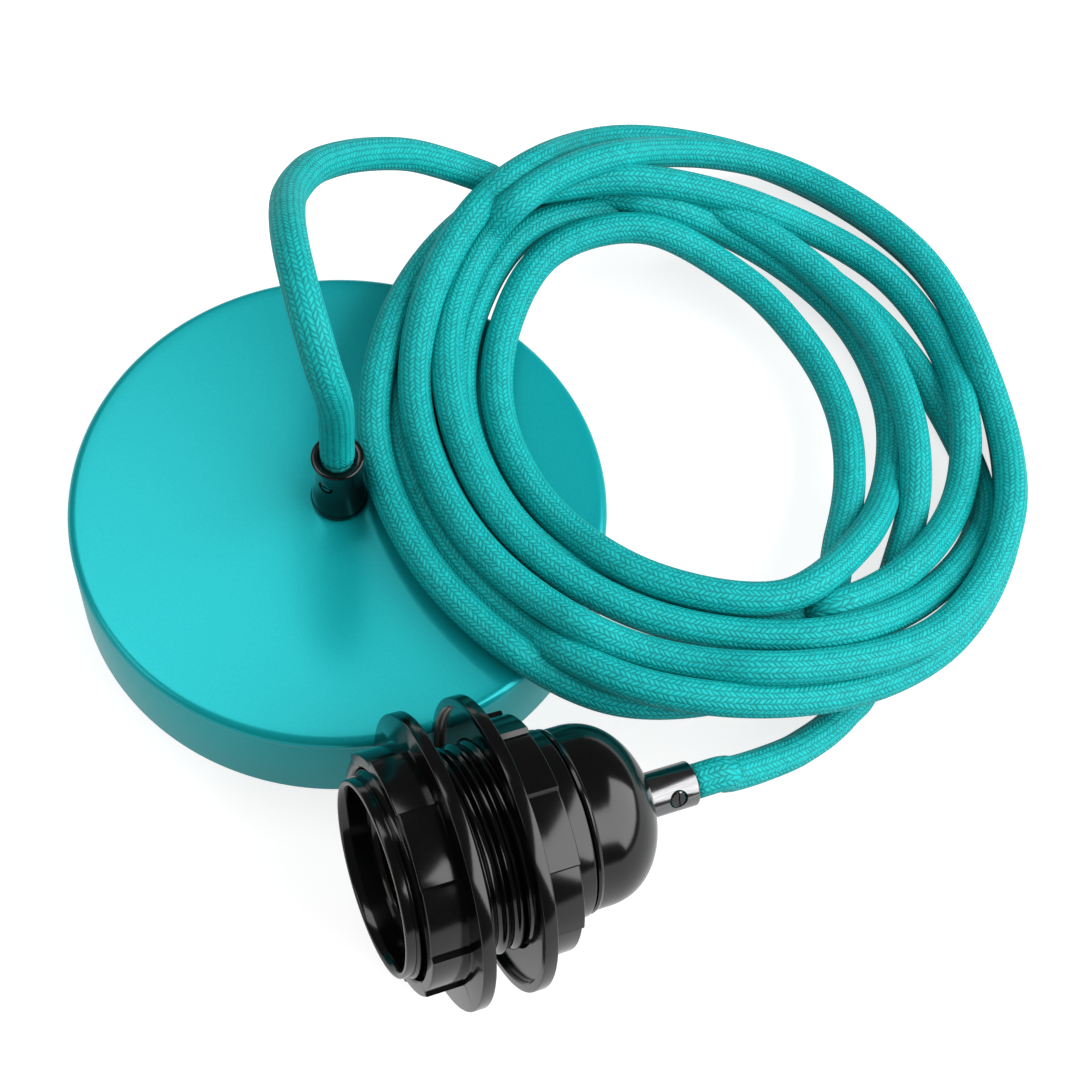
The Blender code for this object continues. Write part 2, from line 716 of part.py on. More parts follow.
def shade_ring(name, place):
    """A ring whose collar has slanted finger pads, each ending in a small step."""
    pad = 2 * math.pi / RING_PADS
    rises = ((0.0, 1.0), (0.05, 0.0), (0.37, 1 / 3), (0.69, 2 / 3))
    angles = []
    collars = {}
    for number in range(RING_PADS):
        for share, rise in rises:
            angle = (number + share) * pad
            angles.append(angle)
            collars[angle] = RING_COLLAR_LOW + rise * (RING_COLLAR_HIGH - RING_COLLAR_LOW)
    return turned(
        name,
        lambda angle: ring_profile(collars[angle]),
        black_plastic,
        parent=holder_frame,
        place=place @ Matrix.Rotation(RING_TURN, 4, "Z"),
        angles=angles,
    )


def contact_insert():
    """The ceramic disc that carries the contacts, held between the shell's shoulder and the cap's skirt."""
    profile = [
        (0, 0),
        (INSERT_RADIUS - 0.0005, 0),
        (INSERT_RADIUS, 0.0005),
        (INSERT_RADIUS, INSERT_LENGTH),
        (0, INSERT_LENGTH),
    ]
    place = Matrix.Translation((0, 0, INSERT_FRONT))
    insert = turned("contact_insert", profile, ceramic, 32, holder_frame, place)
    middle = INSERT_FRONT + INSERT_LENGTH / 2
    slots = [
        ((x, 0, middle), (STRIP + 2 * GAP, STRIP_WIDTH + 2 * GAP, 2 * INSERT_LENGTH))
        for x in (CENTRE_SLOT, SIDE_SLOT)
    ]
    cut(insert, bars("insert_slots", slots, holder_frame))
    holes = [
        ((x, 0, INSERT_REAR + GAP), (x, 0, INSERT_REAR - CONTACT_SCREW_DEPTH), CONTACT_SCREW_RADIUS + GAP)
        for x in (CENTRE_PAD, SIDE_PAD)
    ]
    return cut(insert, rods("insert_holes", holes, holder_frame))


def lamp_screw_shell():
    """The brass shell that a lamp's cap screws into, with a floor that has an open centre."""
    turns = int((SCREW_SHELL_REAR - SCREW_SHELL_FRONT - STRIP) / SCREW_SHELL_PITCH)
    outer = []
    for step in range(2 * turns + 1):
        lift = SCREW_SHELL_RIDGE * (step % 2)
        outer.append((SCREW_SHELL_RADIUS + lift, SCREW_SHELL_FRONT + step * SCREW_SHELL_PITCH / 2))
    inner = [(radius - SCREW_SHELL_WALL, height) for radius, height in outer]
    floor = SCREW_SHELL_REAR
    profile = [
        *outer,
        (SCREW_SHELL_RADIUS, floor),
        (SCREW_SHELL_HOLE, floor),
        (SCREW_SHELL_HOLE, floor - SCREW_SHELL_WALL),
        (SCREW_SHELL_RADIUS - SCREW_SHELL_WALL, floor - SCREW_SHELL_WALL),
        *reversed(inner),
    ]
    return turned("lamp_screw_shell", profile, brass, 28, holder_frame)


def contact_strip(name, centreline):
    """A brass strip of even thickness along a line of (x, z) points, extruded to its width."""
    line = [Vector(point) for point in centreline]
    sides = ([], [])
    for number, point in enumerate(line):
        before = (point - line[number - 1]).normalized() if number else None
        after = (line[number + 1] - point).normalized() if number + 1 < len(line) else None
        along = ((before or after) + (after or before)).normalized()
        normal = Vector((-along.y, along.x))
        square = Vector((-(before or after).y, (before or after).x))
        offset = normal * (STRIP / 2 / normal.dot(square))
        sides[0].append(tuple(point + offset))
        sides[1].append(tuple(point - offset))
    return extruded(name, sides[0] + sides[1][::-1], STRIP_WIDTH, brass, holder_frame)


def contacts():
    front = STRIP_FACE + STRIP / 2
    rear = PAD_FACE + STRIP / 2
    tongue = [
        (-0.0040, front - 0.0048),
        (-0.0015, front - 0.0046),
        (0.0008, front - 0.0024),
        (0.0020, front),
        (CENTRE_SLOT, front),
        (CENTRE_SLOT, rear),
        (CENTRE_PAD + 0.0030, rear),
    ]
    side = [
        (-SCREW_SHELL_HOLE - 0.0008, front),
        (SIDE_SLOT, front),
        (SIDE_SLOT, rear),
        (SIDE_PAD + 0.0027, rear),
    ]
    hole = CONTACT_SCREW_RADIUS + GAP
    for name, line, pad in (("centre_contact", tongue, CENTRE_PAD), ("side_contact", side, SIDE_PAD)):
        strip = contact_strip(name, line)
        through = [((pad, 0, rear - 2 * STRIP), (pad, 0, rear + 2 * STRIP), hole)]
        cut(strip, rods(name + "_hole", through, holder_frame))
        seat = Matrix.Translation((pad, 0, rear + STRIP / 2 + GAP))
        shank = CONTACT_SCREW_DEPTH + STRIP
        screw(
            name + "_screw",
            brass,
            seat,
            holder_frame,
            (CONTACT_SCREW_HEAD, CONTACT_SCREW_HEAD_HEIGHT),
            (CONTACT_SCREW_RADIUS, shank - GAP),
        )


def holder_grip():
    """The metal cord grip: a tube with a stub through the cap, a nut inside and a grub screw."""
    edge = 0.0004
    profile = [
        (CORD_BORE, GRIP_FRONT - GRIP_STUB),
        (GRIP_STUB_RADIUS, GRIP_FRONT - GRIP_STUB),
        (GRIP_STUB_RADIUS, GRIP_FRONT),
        (GRIP_RADIUS, GRIP_FRONT),
        (GRIP_RADIUS, GRIP_END - edge),
        (GRIP_RADIUS - edge, GRIP_END),
        (CORD_BORE, GRIP_END),
    ]
    body = turned("holder_grip_body", profile, steel, 28, holder_frame)
    toward = Vector((math.cos(GRIP_SCREW_TURN), math.sin(GRIP_SCREW_TURN), 0))
    middle = Vector((0, 0, GRIP_FRONT + GRIP_SCREW_PLACE))
    inner_end, outer_end = middle + 0.5 * CORD_RADIUS * toward, middle + 2 * GRIP_RADIUS * toward
    hole = [(inner_end, outer_end, GRIP_SCREW_RADIUS + GAP)]
    cut(body, rods("holder_grip_hole", hole, holder_frame))
    turn = toward.to_track_quat("Z", "Y").to_matrix().to_4x4()
    outer = GRIP_RADIUS - 0.0001
    place = Matrix.Translation(middle + outer * toward) @ turn
    stud("holder_grip_screw", steel, place, holder_frame, GRIP_SCREW_RADIUS, outer - CORD_BORE)
    nut_place = Matrix.Translation((0, 0, CAP_SEAT - GAP - GRIP_NUT_THICKNESS))
    bore = GRIP_STUB_RADIUS + GAP
    across = 2 * GRIP_NUT_FLAT
    hexagon_nut("holder_grip_nut", steel, across, bore, GRIP_NUT_THICKNESS, holder_frame, nut_place)


def holder_wiring():
    """The cord's end inside the cap and the two cores that end under the contact screws."""
    inner_end = GRIP_FRONT - GRIP_STUB - 0.0012
    tail = [(0, 0, GRIP_END), (0, 0, inner_end)]
    tube("holder_cord_tail", tail, CORD_RADIUS, cord_cloth, TUBE_STEP, holder_frame, 4)
    pad_level = PAD_FACE + STRIP + GAP + CORE_RADIUS
    clear = CONTACT_SCREW_HEAD + CORE_RADIUS + GAP
    for core, start, pad in (("live", CORE_SPREAD, CENTRE_PAD), ("neutral", -CORE_SPREAD, SIDE_PAD)):
        level = inner_end - GAP
        route = [
            (start, 0, level),
            (start, 0.0004, level - 0.0020),
            (0.55 * pad, 0.6 * clear, 0.5 * (level + pad_level) + 0.0010),
            (pad, clear, pad_level + 0.0030),
            (pad, clear, pad_level),
        ]
        tube(f"holder_core_{core}", route, CORE_RADIUS, core_colours[core], CORE_STEP, holder_frame)


def bed_height(x):
    """The height of the coil's underside: level on the cup's top, then a smooth fall to the table."""
    share = (x - BED_START) / (BED_END - BED_START)
    share = min(1.0, max(0.0, share))
    return CUP_HEIGHT * (1 - share * share * (3 - 2 * share))


def cord_coil():
    """The outer shape of the coil: a ring that leans from the top of the cup down to the table."""
    builder = bmesh.new()
    band = COIL_OUTER - COIL_INNER
    lower = [(0, CORD_RADIUS), (0.1, 0), (0.37, 0), (0.63, 0), (0.9, 0), (1, CORD_RADIUS)]
    upper = [(share, COIL_THICKNESS - lift) for share, lift in reversed(lower)]
    section = lower + upper
    rows = []
    for angle in even_turn(48):
        row = []
        for share, height in section:
            radius = COIL_INNER + share * band
            x = COIL_CENTRE[0] + radius * math.cos(angle)
            y = COIL_CENTRE[1] + radius * math.sin(angle)
            row.append(builder.verts.new((x, y, bed_height(x) + GAP + height)))
        rows.append(row)
    for row, after in zip(rows, rows[1:] + rows[:1]):
        for low in range(len(section)):
            high = (low + 1) % len(section)
            builder.faces.new((row[low], after[low], after[high], row[high]))
    return outlined("cord_coil", builder, cord_cloth)


ring_sine, ring_cosine = math.sin(HOLDER_TILT), math.cos(HOLDER_TILT)
holder_height = max(
    radius * ring_cosine + (REAR_FLANGE + along) * ring_sine
    for radius, along in ring_profile(RING_COLLAR_HIGH)
)
ring_level = holder_height - (REAR_FLANGE + RING_FLANGE / 2) * ring_sine
ring_reach = math.sqrt(RING_RADIUS**2 - (ring_level - CUP_HEIGHT + CUP_FILLET) ** 2)
holder_side = -(CUP_RADIUS + HOLDER_CLEARANCE + ring_reach)
lying = Matrix.Rotation(math.pi / 2 + HOLDER_TILT, 4, "Y")
holder_place = Matrix.Translation((HOLDER_MOUTH, holder_side, holder_height)) @ lying
holder_frame = frame_at("holder_frame", holder_place)
bracket_frame = frame_at("bracket_frame", Matrix.Rotation(BRACKET_TURN, 4, "Z"))

ceiling_cup()
ceiling_bracket()
bracket_screws()
terminal_block()
rose_grip()
cup_wiring()
holder_shell()
holder_cap()
shade_ring("rear_shade_ring", Matrix.Translation((0, 0, REAR_FLANGE)))
turned_over = Matrix.Rotation(math.pi, 4, "X")
shade_ring("front_shade_ring", Matrix.Translation((0, 0, FRONT_FLANGE + RING_FLANGE)) @ turned_over)
contact_insert()
lamp_screw_shell()
contacts()
holder_grip()
holder_wiring()
cord_coil()
tube("cord_loop", LOOP_ROUTE, CORD_RADIUS, cord_cloth, LOOP_STEP)
grip_mouth = holder_place @ Vector((0, 0, GRIP_END + GAP))
grip_aim = holder_place @ Vector((0, 0, GRIP_END + CORD_DIAMETER))
tube("cord_tail", (*TAIL_ROUTE, grip_aim[:], grip_mouth[:]), CORD_RADIUS, cord_cloth, CORD_DIAMETER)
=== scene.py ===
"""A pendant lamp set on a pale floor: teal ceiling cup, coiled braided cord and black lamp holder.

Lengths are in metres. The cup stands at the origin with +Z up, and the holder's mouth points to -X.
"""

import math

import bpy
from mathutils import Matrix, Vector
from mathutils.kdtree import KDTree


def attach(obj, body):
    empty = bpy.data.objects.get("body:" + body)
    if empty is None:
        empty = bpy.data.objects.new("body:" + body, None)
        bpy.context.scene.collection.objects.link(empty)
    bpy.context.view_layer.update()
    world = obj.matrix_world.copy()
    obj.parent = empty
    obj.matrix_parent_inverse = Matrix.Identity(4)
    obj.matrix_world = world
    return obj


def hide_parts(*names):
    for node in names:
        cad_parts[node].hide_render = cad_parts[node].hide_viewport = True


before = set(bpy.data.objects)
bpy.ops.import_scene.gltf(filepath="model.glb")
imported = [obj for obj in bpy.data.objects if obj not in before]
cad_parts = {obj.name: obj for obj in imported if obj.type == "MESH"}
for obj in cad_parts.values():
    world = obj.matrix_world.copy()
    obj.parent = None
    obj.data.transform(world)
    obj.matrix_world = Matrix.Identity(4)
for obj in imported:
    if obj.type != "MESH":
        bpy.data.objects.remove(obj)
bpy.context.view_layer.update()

# Camera
CAMERA_PLACE = Vector((-0.069526, -0.232382, 0.447924))
CAMERA_RIGHT = Vector((0.93091, -0.36095, 0.05586))
CAMERA_UP = Vector((0.29211, 0.82756, 0.47940))
CAMERA_LENS = 76.01

# Clearance between pieces, and the sides of a round hole
GAP = 0.0003
HOLE_SIDES = 32

# Ceiling cup
CUP_RADIUS = 0.0575
CUP_HEIGHT = 0.0233
CUP_WALL = 0.0010
CUP_FILLET = 0.0020
CUP_SIDES = 192
CREASE_DROP = 0.0006
CREASE_WIDTH = 0.0008
CREASE_DEPTH = 0.00012
SIDE_SCREW_RADIUS = 0.0019
SIDE_SCREW_HEIGHT = 0.0085
BRACKET_TURN = math.radians(143)

# Cord grip of the cup
ROSE_STUB_RADIUS = 0.0049
ROSE_BASE_RADIUS = 0.00605
ROSE_NECK_RADIUS = 0.00515
ROSE_LIP_RADIUS = 0.0056
ROSE_HEIGHT = 0.0170
ROSE_STUB_LENGTH = 0.0060
ROSE_SCREW_RADIUS = 0.0014
ROSE_SCREW_HEIGHT = 0.0112
ROSE_SCREW_TURN = math.radians(-141)

# Cord
CORD_DIAMETER = 0.0070
CORD_BORE = CORD_DIAMETER / 2 + GAP
CORD_COVER = 0.00362
CORD_SIDES = 24
CORD_STEP = 0.0015
CURVE_PARTS = 40

# Braid: stitches in columns round the cord, their slant, unevenness and rounding
BRAID_COLUMNS = 18
BRAID_PITCH = 0.00115
BRAID_SLANT = 0.95
BRAID_WANDER = 900.0
BRAID_SWAY = 0.5
BRAID_SLIP = 0.7
BRAID_CROWN = 0.8
BRAID_SIDE = 0.6
BRAID_FADE = 0.3
BRAID_RELIEF = 0.0002

# Coil: its turns' radius and height above their bed in millimetres, every 30 degrees clockwise
COIL_CENTRE = (0.0849, -0.0022)
COIL_FIRST = 83
COIL_STEP = 30
COIL_ROUNDS = 30
COIL_EASE = 0.35
COIL_LIFT = 0.008
BED_START = 0.055
BED_END = 0.150
# One line holds half a turn, from 113 or from -67 degrees on
COIL_TURNS = (
    (61, 4), (63, 3), (65, 3), (62.5, 4), (60, 4),
    (57.5, 3), (56.5, 0), (57, 0), (56, 0), (55, 0), (55, 0),
    (57, 0), (54.5, 0), (53.5, 0), (55, 0), (57.5, 0), (66.5, 0),
    (64.5, 3), (63.3, 4), (61.3, 5), (59.5, 6), (57.5, 6), (58.5, 6),
    (60.8, 7), (66.3, 7), (76.2, 5), (74.2, 5), (69.2, 5), (71.8, 6),
    (72.5, 5), (71, 5), (69.5, 5), (67.5, 6), (65.3, 6), (64.5, 6),
    (67, 6), (74, 3), (80.3, 0), (76.6, 0), (71.3, 0), (72.5, 0),
    (74.5, 0), (76.8, 2), (75, 1), (71, 0), (69, 0), (68, 0),
    (66, 0), (58, 0), (52.5, 0), (49, 0), (45.5, 0), (44, 0),
    (46.5, 2), (53.2, 3), (51.2, 2), (48, 0), (47, 0), (47, 0),
    (49.6, 0), (49.1, 0), (40.3, 0), (34.3, 0), (32.7, 0), (34.5, 0),
    (42, 0), (68, 0), (79, 0), (77, 0), (74.8, 0), (70.8, 0),
    (67.5, 0), (63.5, 0), (58, 0), (53.5, 0), (50, 0), (50.5, 0), (57.5, 0),
)
LOOP_ROUTE = (
    (0.0000, 0.0000, 0.0410),
    (0.0000, 0.0000, 0.0480),
    (-0.0005, -0.0020, 0.0600),
    (-0.0020, -0.0055, 0.0730),
    (-0.0037, -0.0060, 0.0835),
    (-0.0042, -0.0005, 0.0910),
    (-0.0036, 0.0085, 0.0935),
    (-0.0018, 0.0195, 0.0910),
    (0.0010, 0.0305, 0.0850),
    (0.0048, 0.0405, 0.0775),
    (0.0117, 0.0501, 0.0700),
    (0.0200, 0.0566, 0.0625),
    (0.0293, 0.0610, 0.0550),
    (0.0385, 0.0634, 0.0480),
    (0.0475, 0.0638, 0.0405),
    (0.0562, 0.0628, 0.0335),
    (0.0640, 0.0600, 0.0290),
)
TAIL_ROUTE = (
    (0.0955, -0.0710, 0.0042),
    (0.0875, -0.0763, 0.0053),
    (0.0810, -0.0796, 0.0076),
    (0.0736, -0.0824, 0.0110),
    (0.0700, -0.0836, 0.0131),
    (0.0661, -0.0845, 0.0151),
    (0.0592, -0.0858, 0.0187),
    (0.0532, -0.0865, 0.0219),
)

# Lamp holder, measured along its axis from the mouth
HOLDER_TILT = math.radians(6.18)
HOLDER_TURN = Matrix.Rotation(math.pi / 2 + HOLDER_TILT, 4, "Y")
HOLDER = Matrix.Translation((-0.0229, -0.0867, 0.032337)) @ HOLDER_TURN
MOUTH_RADIUS = 0.0197
MOUTH_BORE = 0.0184
MOUTH_LENGTH = 0.0019
MOUTH_DEPTH = 0.0055
THREAD_ROOT = 0.0200
THREAD_CREST = 0.0209
THREAD_PITCH = 0.0030
THREAD_START = 0.0029
THREAD_END = 0.0344
THREAD_FADE = 0.0015
THREAD_SHARPNESS = 1.7
SHELL_TAIL_RADIUS = 0.0191
SHELL_LENGTH = 0.0391
SHELL_BORE = 0.0148
SHELL_REAR_BORE = 0.0168
SHOULDER = 0.0269
SHELL_SIDES = 160
CAP_RADIUS = 0.01845
CAP_STRAIGHT = 0.0048
CAP_FRONT = SHELL_LENGTH + GAP
DOME_START = CAP_FRONT + CAP_STRAIGHT
DOME_LENGTH = 0.0137
DOME_POWER = 2.15
CAP_TOP_RADIUS = 0.0053
CAP_WALL = 0.0024
SKIRT_FRONT = 0.0349
SKIRT_WALL = 0.0016

# Shade rings
RING_RADIUS = 0.0297
RING_FLANGE = 0.0027
RING_LENGTH = 0.0106
RING_COLLAR_LOW = 0.0235
RING_COLLAR_HIGH = 0.0244
RING_BORE = THREAD_CREST + GAP
RING_RECESS = 0.0013
RING_RIM = 0.0020
RING_PADS = 10
RING_SIDES = 240
RING_TURN = math.radians(4)
FRONT_FLANGE = 0.0113
REAR_FLANGE = 0.0237

# Metal cord grip of the holder
GRIP_RADIUS = 0.00465
GRIP_STUB_RADIUS = 0.00435
GRIP_STUB = 0.0078
GRIP_LENGTH = 0.0104
GRIP_SCREW_RADIUS = 0.0017
GRIP_SCREW_PLACE = 0.0056
GRIP_SCREW_TURN = math.radians(-127)

# Brightness of floor and sky, and what each adds to the picture and to reflections
FLOOR_SHADE = 0.45
FLOOR_SEEN = 0.76
FLOOR_REFLECTED = 0.45
SKY_LIGHT = 0.35
SKY_SEEN = 0.65
SKY_REFLECTED = -0.25


def dome_height(radius, base, length):
    """How far a dome rises at a radius from its axis."""
    return length * (1 - (radius / base) ** DOME_POWER) ** (1 / DOME_POWER)


GRIP_FRONT = DOME_START + dome_height(CAP_TOP_RADIUS, CAP_RADIUS, DOME_LENGTH) + GAP
GRIP_END = GRIP_FRONT + GRIP_LENGTH


def maths(tree, operation, *values):
    """A Math node fed with numbers or sockets."""
    node = tree.nodes.new("ShaderNodeMath")
    node.operation = operation
    for socket, value in zip(node.inputs, values):
        if isinstance(value, (int, float)):
            socket.default_value = value
        else:
            tree.links.new(value, socket)
    return node.outputs[0]


def new_group(name, inputs, outputs):
    """A shader group with its input and output nodes."""
    group = bpy.data.node_groups.new(name, "ShaderNodeTree")
    for label, kind in inputs:
        group.interface.new_socket(label, in_out="INPUT", socket_type="NodeSocket" + kind)
    for label, kind in outputs:
        group.interface.new_socket(label, in_out="OUTPUT", socket_type="NodeSocket" + kind)
    return group, group.nodes.new("NodeGroupInput"), group.nodes.new("NodeGroupOutput")


def grain_group():
    """Fine grain in the piece's own space: a value round one half and a bumped normal."""
    inputs = (("Scale", "Float"), ("Stretch", "Float"), ("Depth", "Float"))
    group, inside, outside = new_group("grain", inputs, (("Value", "Float"), ("Normal", "Vector")))
    place = group.nodes.new("ShaderNodeTexCoord")
    mapping = group.nodes.new("ShaderNodeMapping")
    group.links.new(place.outputs["Object"], mapping.inputs["Vector"])
    scale = group.nodes.new("ShaderNodeCombineXYZ")
    stretched = maths(group, "MULTIPLY", inside.outputs["Scale"], inside.outputs["Stretch"])
    group.links.new(stretched, scale.inputs[0])
    group.links.new(inside.outputs["Scale"], scale.inputs[1])
    group.links.new(inside.outputs["Scale"], scale.inputs[2])
    group.links.new(scale.outputs[0], mapping.inputs["Scale"])
    noise = group.nodes.new("ShaderNodeTexNoise")
    noise.inputs["Scale"].default_value = 1.0
    noise.inputs["Detail"].default_value = 3.0
    group.links.new(mapping.outputs[0], noise.inputs["Vector"])
    group.links.new(noise.outputs["Fac"], outside.inputs["Value"])
    bump = group.nodes.new("ShaderNodeBump")
    bump.inputs["Strength"].default_value = 1.0
    group.links.new(inside.outputs["Depth"], bump.inputs["Distance"])
    group.links.new(noise.outputs["Fac"], bump.inputs["Height"])
    group.links.new(bump.outputs[0], outside.inputs["Normal"])
    return group


def braid_group():
    """Plaited yarns: slanted stitches in columns along the cord, read from a UV map of turns and lengths."""
    inputs = (("UV", "Vector"), ("Columns", "Float"), ("Pitch", "Float"))
    group, inside, outside = new_group("braid", inputs, (("Height", "Float"), ("Yarn", "Float")))
    parts = group.nodes.new("ShaderNodeSeparateXYZ")
    group.links.new(inside.outputs["UV"], parts.inputs[0])
    place = group.nodes.new("ShaderNodeTexCoord")
    wander = group.nodes.new("ShaderNodeTexNoise")
    wander.inputs["Scale"].default_value = BRAID_WANDER
    wander.inputs["Detail"].default_value = 1.0
    group.links.new(place.outputs["Object"], wander.inputs["Vector"])
    shift = group.nodes.new("ShaderNodeSeparateXYZ")
    group.links.new(wander.outputs["Color"], shift.inputs[0])
    across = maths(group, "MULTIPLY", parts.outputs[0], inside.outputs["Columns"])
    sway = maths(group, "MULTIPLY_ADD", shift.outputs[0], BRAID_SWAY, -BRAID_SWAY / 2)
    across = maths(group, "ADD", across, sway)
    column = maths(group, "FLOOR", across)
    share = maths(group, "SUBTRACT", across, column)
    parity = maths(group, "FLOORED_MODULO", column, 2.0)
    lean = maths(group, "MULTIPLY_ADD", parity, 2.0, -1.0)
    slant = maths(group, "MULTIPLY", maths(group, "SUBTRACT", share, 0.5), lean)
    slant = maths(group, "MULTIPLY", slant, BRAID_SLANT)
    along = maths(group, "DIVIDE", parts.outputs[1], inside.outputs["Pitch"])
    slip = maths(group, "MULTIPLY_ADD", shift.outputs[1], BRAID_SLIP, -BRAID_SLIP / 2)
    along = maths(group, "ADD", along, slip)
    phase = maths(group, "ADD", maths(group, "ADD", along, slant), maths(group, "MULTIPLY", parity, 0.5))
    stitch = maths(group, "FRACT", phase)
    crown = maths(group, "SINE", maths(group, "MULTIPLY", stitch, math.pi))
    crown = maths(group, "POWER", crown, BRAID_CROWN)
    side = maths(group, "SINE", maths(group, "MULTIPLY", share, math.pi))
    side = maths(group, "POWER", side, BRAID_SIDE)
    group.links.new(maths(group, "MULTIPLY", crown, side), outside.inputs["Height"])
    number = maths(group, "ADD", maths(group, "FLOOR", phase), maths(group, "MULTIPLY", column, 17.31))
    noise = group.nodes.new("ShaderNodeTexWhiteNoise")
    noise.noise_dimensions = "1D"
    group.links.new(number, noise.inputs["W"])
    group.links.new(noise.outputs["Value"], outside.inputs["Yarn"])
    return group


def colour_ramp(tree, value, stops):
    """A colour that follows a value through stops of (place, colour)."""
    ramp = tree.nodes.new("ShaderNodeValToRGB")
    elements = ramp.color_ramp.elements
    while len(elements) < len(stops):
        elements.new(0.5)
    for element, (place, colour) in zip(elements, stops):
        element.position = place
        element.color = (*colour, 1.0)
    tree.links.new(value, ramp.inputs[0])
    return ramp.outputs[0]


def finish(name, dark, light, roughness, metallic=0.0, scale=900.0, stretch=1.0, depth=0.0, **settings):
    """A surface whose colour and roughness vary a little with fine grain."""
    material = bpy.data.materials.new(name)
    material.use_nodes = True
    tree = material.node_tree
    shader = tree.nodes["Principled BSDF"]
    shader.inputs["Metallic"].default_value = metallic
    for label, value in settings.items():
        shader.inputs[label.replace("_", " ")].default_value = value
    grain = tree.nodes.new("ShaderNodeGroup")
    grain.node_tree = GRAIN
    grain.inputs["Scale"].default_value = scale
    grain.inputs["Stretch"].default_value = stretch
    grain.inputs["Depth"].default_value = depth
    colour = colour_ramp(tree, grain.outputs["Value"], ((0.3, dark), (0.7, light)))
    tree.links.new(colour, shader.inputs["Base Color"])
    rough = maths(tree, "MULTIPLY_ADD", grain.outputs["Value"], 0.1 * roughness, 0.95 * roughness)
    tree.links.new(rough, shader.inputs["Roughness"])
    if depth:
        tree.links.new(grain.outputs["Normal"], shader.inputs["Normal"])
    return material


def braided_cloth():
    """Teal yarns: painted shade in the gaps between the stitches, each stitch a little lighter or darker
    than the next.
    """
    material = bpy.data.materials.new("braided_cloth")
    material.use_nodes = True
    tree = material.node_tree
    shader = tree.nodes["Principled BSDF"]
    uv = tree.nodes.new("ShaderNodeUVMap")
    uv.uv_map = "cord"
    braid = tree.nodes.new("ShaderNodeGroup")
    braid.node_tree = braid_group()
    tree.links.new(uv.outputs[0], braid.inputs["UV"])
    braid.inputs["Columns"].default_value = BRAID_COLUMNS
    braid.inputs["Pitch"].default_value = BRAID_PITCH
    # The colour runs dark where the stitches dip into the gaps: painted shade where the yarns meet. The
    # random step per stitch is the yarns' own tone
    varied = maths(tree, "MULTIPLY_ADD", braid.outputs["Yarn"], BRAID_FADE, -BRAID_FADE / 2)
    height = maths(tree, "ADD", braid.outputs["Height"], varied)
    stops = ((0.0, (0.0, 0.21, 0.215)), (0.45, (0.001, 0.35, 0.355)), (0.95, (0.006, 0.48, 0.475)))
    tree.links.new(colour_ramp(tree, height, stops), shader.inputs["Base Color"])
    bump = tree.nodes.new("ShaderNodeBump")
    bump.inputs["Strength"].default_value = 0.7
    bump.inputs["Distance"].default_value = BRAID_RELIEF
    tree.links.new(braid.outputs["Height"], bump.inputs["Height"])
    tree.links.new(bump.outputs[0], shader.inputs["Normal"])
    shader.inputs["Roughness"].default_value = 0.6
    shader.inputs["Specular IOR Level"].default_value = 0.2
    return material


def camera():
    """The photograph's view."""
    data = bpy.data.cameras.new("camera")
    data.lens = CAMERA_LENS
    data.clip_start = 0.01
    data.clip_end = 20
    viewer = bpy.data.objects.new("camera", data)
    bpy.context.scene.collection.objects.link(viewer)
    right, up = CAMERA_RIGHT.normalized(), CAMERA_UP.normalized()
    back = right.cross(up).normalized()
    up = back.cross(right)
    turn = Matrix((right, up, back)).transposed()
    viewer.matrix_world = Matrix.Translation(CAMERA_PLACE) @ turn.to_4x4()
    bpy.context.scene.camera = viewer


def curve_through(route, step):
    """Points a step apart on a smooth curve through the route's points."""
    knots = [Vector(point) for point in route]
    knots = [2 * knots[0] - knots[1], *knots, 2 * knots[-1] - knots[-2]]
    fine = []
    for before, start, end, after in zip(knots, knots[1:], knots[2:], knots[3:]):
        for part in range(CURVE_PARTS):
            t = part / CURVE_PARTS
            fine.append(
                0.5
                * (
                    2 * start
                    + (end - before) * t
                    + (2 * before - 5 * start + 4 * end - after) * t * t
                    + (3 * start - before - 3 * end + after) * t**3
                )
            )
    fine.append(knots[-2])
    travelled = [0.0]
    for start, end in zip(fine, fine[1:]):
        travelled.append(travelled[-1] + (end - start).length)
    count = round(travelled[-1] / step)
    points = []
    reached = 0
    for number in range(count + 1):
        wanted = travelled[-1] * number / count
        while reached < len(fine) - 2 and travelled[reached + 1] < wanted:
            reached += 1
        span = travelled[reached + 1] - travelled[reached]
        points.append(fine[reached].lerp(fine[reached + 1], (wanted - travelled[reached]) / span))
    return points


def bed_height(x):
    """The coil leans: level on the cup, then down to the floor away from it."""
    share = min(1.0, max(0.0, (x - BED_START) / (BED_END - BED_START)))
    return CUP_HEIGHT * (1 - share * share * (3 - 2 * share))


def coil_route():
    """The coil's points, from its turns."""
    points = []
    for number, (radius, lift) in enumerate(COIL_TURNS):
        angle = math.radians(COIL_FIRST - COIL_STEP * number)
        x = COIL_CENTRE[0] + radius / 1000 * math.cos(angle)
        y = COIL_CENTRE[1] + radius / 1000 * math.sin(angle)
        points.append((x, y, bed_height(x) + CORD_DIAMETER / 2 + GAP + lift / 1000))
    return points


